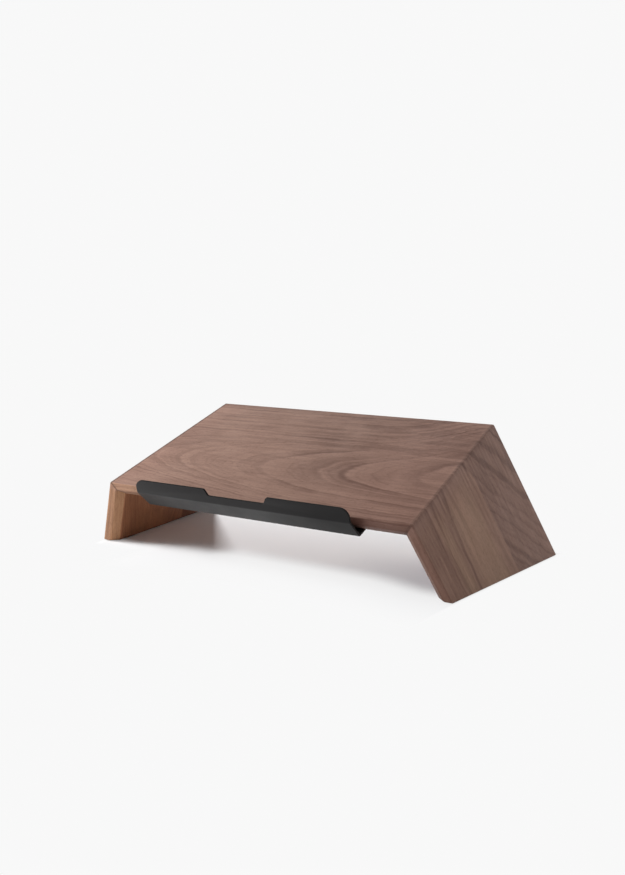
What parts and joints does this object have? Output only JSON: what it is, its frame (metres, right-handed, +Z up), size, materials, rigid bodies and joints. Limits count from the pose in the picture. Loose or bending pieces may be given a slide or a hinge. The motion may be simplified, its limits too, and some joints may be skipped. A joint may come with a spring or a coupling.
{
  "type": "laptop stand with front tray",
  "caption": "Sloping walnut laptop stand on two splayed, mitred legs, with a folded black steel tray along the front whose notched lip stops the laptop.",
  "frame": {"origin": "on the floor, in the middle of the stand's box", "axes": "+X to the right of a user who faces the stand, +Y away from the user, +Z up; the front tray is on the -Y side"},
  "size_m": [0.4632, 0.2752, 0.1409],
  "materials": {
    "walnut": "solid walnut, satin hard-wax oil, grain running across the board and down the legs",
    "black_powder_coat": "fine-textured satin black powder coat on folded sheet steel",
    "beech": "compressed beech, glued",
    "insert_brass": "turned brass",
    "black_screw_steel": "black-oxide steel",
    "pad_rubber": "matte rubber"
  },
  "bodies": {
    "root": {"top_board": "walnut", "left_leg": "walnut", "right_leg": "walnut", "front_tray": "black_powder_coat", "left_tenon_1": "beech", "left_tenon_2": "beech", "left_tenon_3": "beech", "left_tenon_4": "beech", "right_tenon_1": "beech", "right_tenon_2": "beech", "right_tenon_3": "beech", "right_tenon_4": "beech", "tray_insert_1": "insert_brass", "tray_insert_2": "insert_brass", "tray_insert_3": "insert_brass", "tray_insert_4": "insert_brass", "tray_screw_1": "black_screw_steel", "tray_screw_2": "black_screw_steel", "tray_screw_3": "black_screw_steel", "tray_screw_4": "black_screw_steel", "left_front_pad": "pad_rubber", "left_rear_pad": "pad_rubber", "right_front_pad": "pad_rubber", "right_rear_pad": "pad_rubber"}
  },
  "joints": []
}
